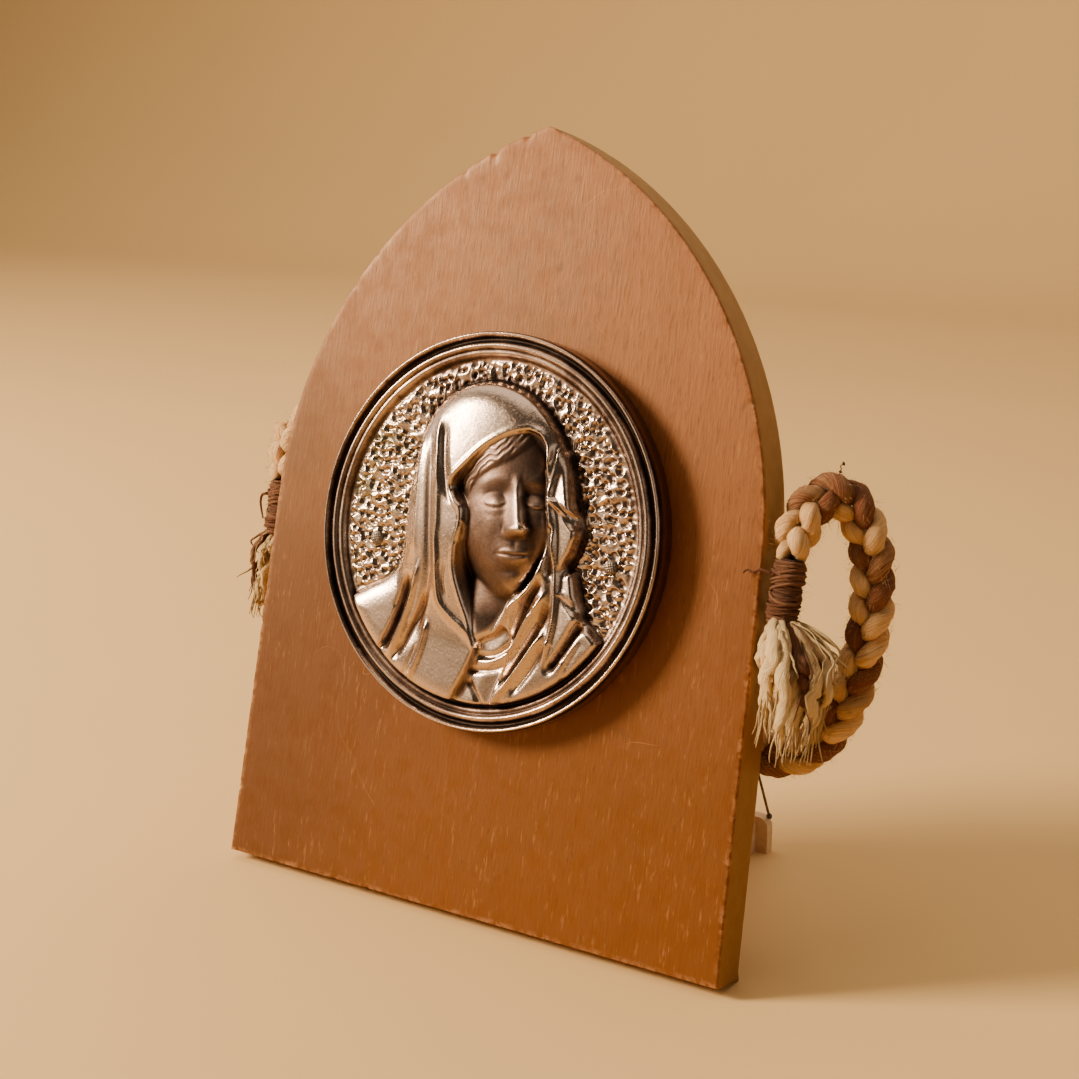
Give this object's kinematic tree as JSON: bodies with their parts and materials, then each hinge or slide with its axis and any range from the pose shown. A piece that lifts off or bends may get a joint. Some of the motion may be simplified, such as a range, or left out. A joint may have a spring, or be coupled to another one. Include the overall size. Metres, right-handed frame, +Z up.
{
  "type": "religious relief plaque",
  "caption": "Pointed-arch wooden board leaning on rear feet, with a round cast relief of a veiled figure nailed to it and a tasselled plaited cord bound at its sides.",
  "frame": {"origin": "on the floor, at the middle of the footprint of the board and its two rear feet, without the cord", "axes": "+X to the viewer's right, the front faces -Y and leans 13 degrees back towards +Y, +Z up"},
  "size_m": [0.1854, 0.0855, 0.1974],
  "materials": {
    "board_wood": "satin varnish, worn pale at the edges",
    "medal_bronze": "antique bronze, dark in the hollows and rubbed bright on the high parts",
    "nail_steel": "chequered head, browned",
    "plaited_cord": "straw and red-brown plant fibre, loosely plaited",
    "binding_twine": "thin hard-twisted twine",
    "foot_wood": "plain, thinly varnished",
    "wire_steel": "dull dark wire"
  },
  "bodies": {
    "root": {"wooden_board": "board_wood", "cast_medallion": "medal_bronze", "medallion_nail_left": "nail_steel", "medallion_nail_right": "nail_steel", "hanging_cord": "plaited_cord", "cord_binding_left": "binding_twine", "cord_binding_right": "binding_twine", "cord_tassel_left": "plaited_cord", "cord_tassel_right": "plaited_cord", "rear_foot_left": "foot_wood", "rear_foot_right": "foot_wood", "foot_wire_left": "wire_steel", "foot_wire_right": "wire_steel"}
  },
  "joints": []
}
